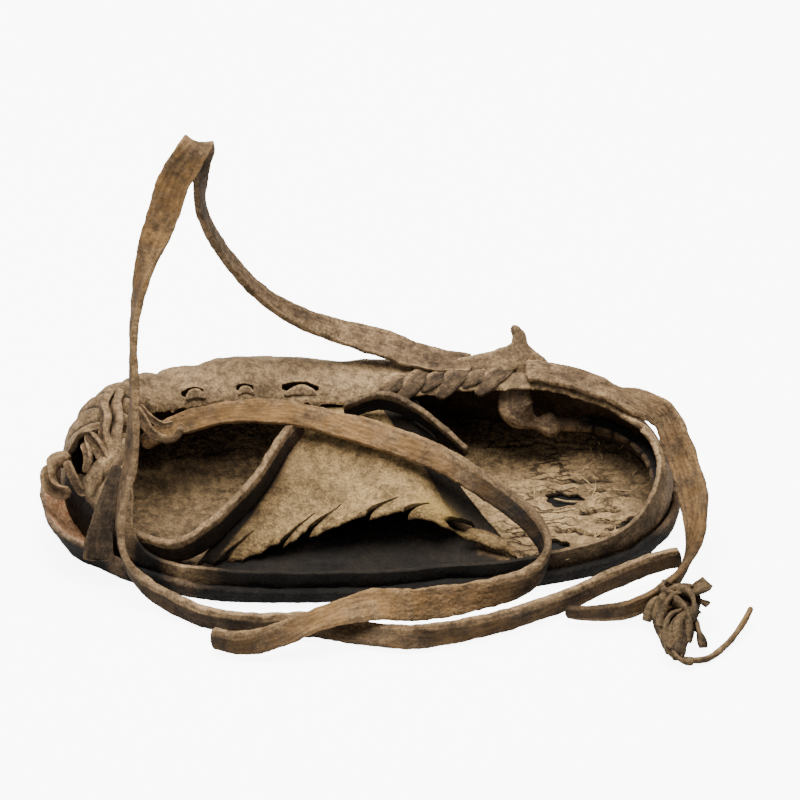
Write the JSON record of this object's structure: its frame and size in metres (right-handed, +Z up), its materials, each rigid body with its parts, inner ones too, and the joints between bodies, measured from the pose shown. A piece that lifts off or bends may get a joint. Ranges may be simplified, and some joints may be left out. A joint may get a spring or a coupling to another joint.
{
  "type": "gathered hide shoe",
  "caption": "Dried hide shoe with a gathered toe, a wall rolled in on one side, a domed instep flap, an inner sole and long flat thong ties that stand and trail.",
  "frame": {"origin": "on the floor under the middle of the shoe's own box, without the free thongs and the tassel", "axes": "+X from the toe to the heel, +Y to the shoe's right side, +Z up"},
  "size_m": [0.2648, 0.1465, 0.1658],
  "materials": {
    "sole_hide": "thick dark dried hide, dusty, tan on the inside of its turned-up toe",
    "insole_hide": "cracked and crazed dusty hide",
    "wall_hide": "dry dusty hide, creased and gathered",
    "flap_hide": "dry sandy hide with a fine speckle",
    "thong_leather": "stiff flat thong, worn to an orange tan on its faces",
    "frayed_thong": "frayed dry thong ends"
  },
  "bodies": {
    "root": {"sole": "sole_hide", "insole": "insole_hide", "upper": "wall_hide", "instep_flap": "flap_hide", "rim_lacing": "thong_leather", "heel_drawstring": "thong_leather", "tie_thong": "thong_leather", "loop_thong": "thong_leather", "cross_thong": "thong_leather", "side_thong": "thong_leather", "heel_thong": "thong_leather", "heel_tassel": "frayed_thong", "tassel_strand": "frayed_thong"}
  },
  "joints": []
}
